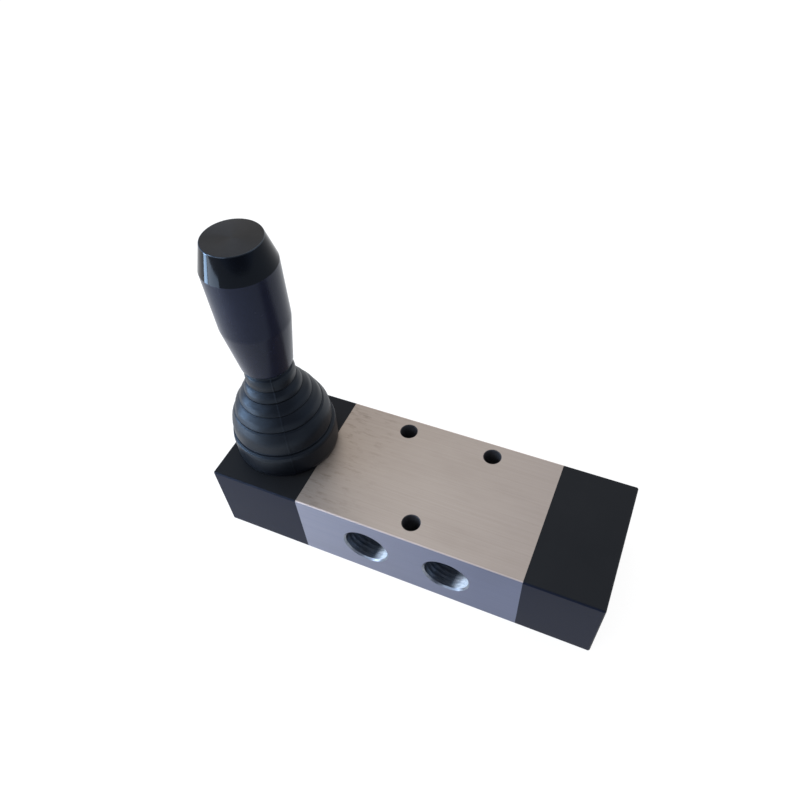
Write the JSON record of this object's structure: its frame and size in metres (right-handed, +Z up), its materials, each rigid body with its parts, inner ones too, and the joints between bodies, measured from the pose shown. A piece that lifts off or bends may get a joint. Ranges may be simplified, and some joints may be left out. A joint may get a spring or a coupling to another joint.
{
  "type": "hand lever air valve",
  "caption": "Hand lever spool valve: aluminium block with threaded air ports, black end caps and an upright lever in a rubber boot.",
  "frame": {"origin": "centre of the aluminium body's underside", "axes": "+X along the spool from the lever cap to the blind cap, +Y towards the face with the supply and exhaust ports, +Z up along the lever at rest"},
  "size_m": [0.1017, 0.035, 0.0838],
  "materials": {
    "body_aluminium": "brushed extrusion",
    "cap_black": "satin black",
    "gasket_rubber": "matte",
    "screw_steel": "blackened zinc",
    "spool_aluminium": "turned",
    "yoke_brass": "turned",
    "spring_steel": "drawn wire",
    "seal_rubber": "matte",
    "pin_steel": "ground",
    "washer_nylon": "matte",
    "rod_steel": "turned",
    "grip_black": "gloss black, turned end",
    "boot_rubber": "satin black"
  },
  "bodies": {
    "body": {"valve_body": "body_aluminium", "lever_cap": "cap_black", "blind_cap": "cap_black", "lever_cap_gasket": "gasket_rubber", "blind_cap_gasket": "gasket_rubber", "lever_cap_screws": "screw_steel", "blind_cap_screws": "screw_steel", "pivot_pin": "pin_steel", "pivot_washer_front": "washer_nylon", "pivot_washer_rear": "washer_nylon", "lever_end_spring": "spring_steel", "blind_end_spring": "spring_steel", "boot": "boot_rubber"},
    "lever": {"lever_rod": "rod_steel", "grip": "grip_black"},
    "spool": {"spool": "spool_aluminium", "spool_yoke": "yoke_brass", "spool_seal_1": "seal_rubber", "spool_seal_2": "seal_rubber", "spool_seal_3": "seal_rubber", "spool_seal_4": "seal_rubber", "spool_seal_5": "seal_rubber", "spool_seal_6": "seal_rubber"}
  },
  "joints": [
    {"name": "lever_tilt", "type": "hinge", "parent": "body", "child": "lever", "pos_m": [-0.04075, 0, 0.019], "axis": [0, 1, 0], "range_deg": [-15, 15], "stiffness_Nm_per_rad": 0.35, "deforming": ["boot"]},
    {"name": "spool_slide", "type": "slide", "parent": "body", "child": "spool", "axis": [1, 0, 0], "range_m": [-0.00195, 0.00195], "deforming": ["lever_end_spring", "blind_end_spring"]}
  ],
  "couplings": [
    {"joint": "spool_slide", "follows": "lever_tilt", "m_per_rad": -0.0074145}
  ]
}
